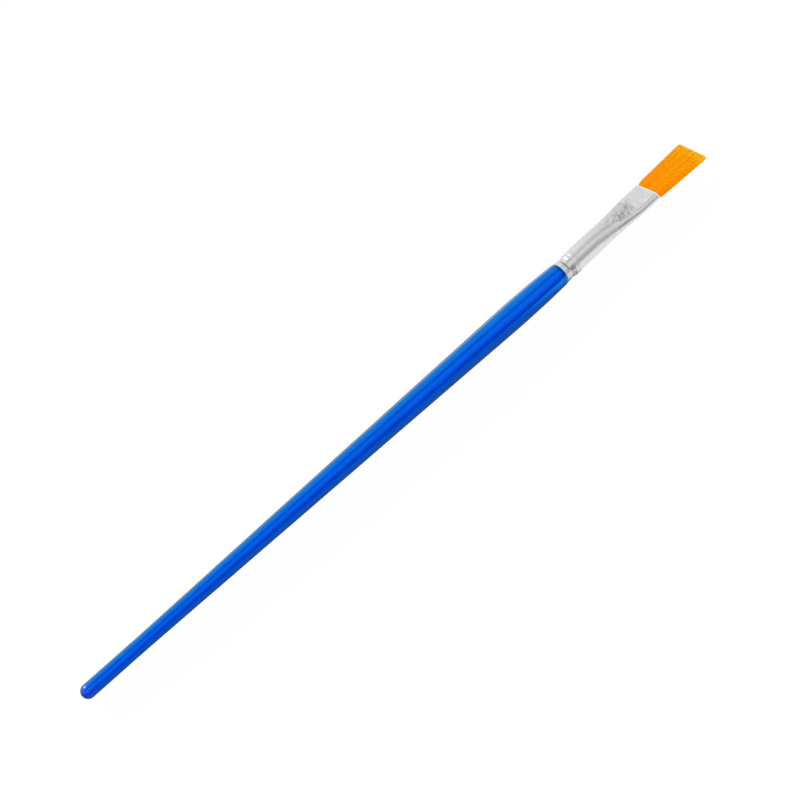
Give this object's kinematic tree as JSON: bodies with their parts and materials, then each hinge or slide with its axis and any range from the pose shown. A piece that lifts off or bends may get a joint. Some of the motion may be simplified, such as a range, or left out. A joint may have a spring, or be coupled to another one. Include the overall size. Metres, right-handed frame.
{
  "type": "flat paint brush",
  "caption": "Flat paint brush: long round tapered plastic handle, crimped metal ferrule pressed flat at the mouth, square nylon tuft that bends",
  "frame": {"origin": "on the handle's axis, midway between the handle's tail and the tuft's tip", "axes": "+X runs along the brush from tail to tip, +Z is the outward normal of the tuft's and the pressed ferrule's broad face, +Y runs across the tuft's width"},
  "size_m": [0.2, 0.0086, 0.0062],
  "materials": {
    "handle_plastic": "moulded gloss plastic, bright blue",
    "ferrule_metal": "bright drawn tube, rubbed and creased where it is pressed",
    "tuft_nylon": "fine nylon filaments, golden orange, paler at the cut tip",
    "root_glue": "set clear amber glue",
    "thread_cotton": "undyed twisted thread"
  },
  "bodies": {
    "brush": {"handle": "handle_plastic", "ferrule": "ferrule_metal", "glue_plug": "root_glue", "binding_thread": "thread_cotton", "tuft_root": "tuft_nylon"},
    "tuft": {"tuft_tip": "tuft_nylon"}
  },
  "joints": [
    {"name": "tuft_bend", "type": "hinge", "parent": "brush", "child": "tuft", "pos_m": [0.0868, 0.00061, 0.00041], "axis": [0, 1, 0], "range_deg": [-45, 45], "stiffness_Nm_per_rad": 0.003}
  ]
}
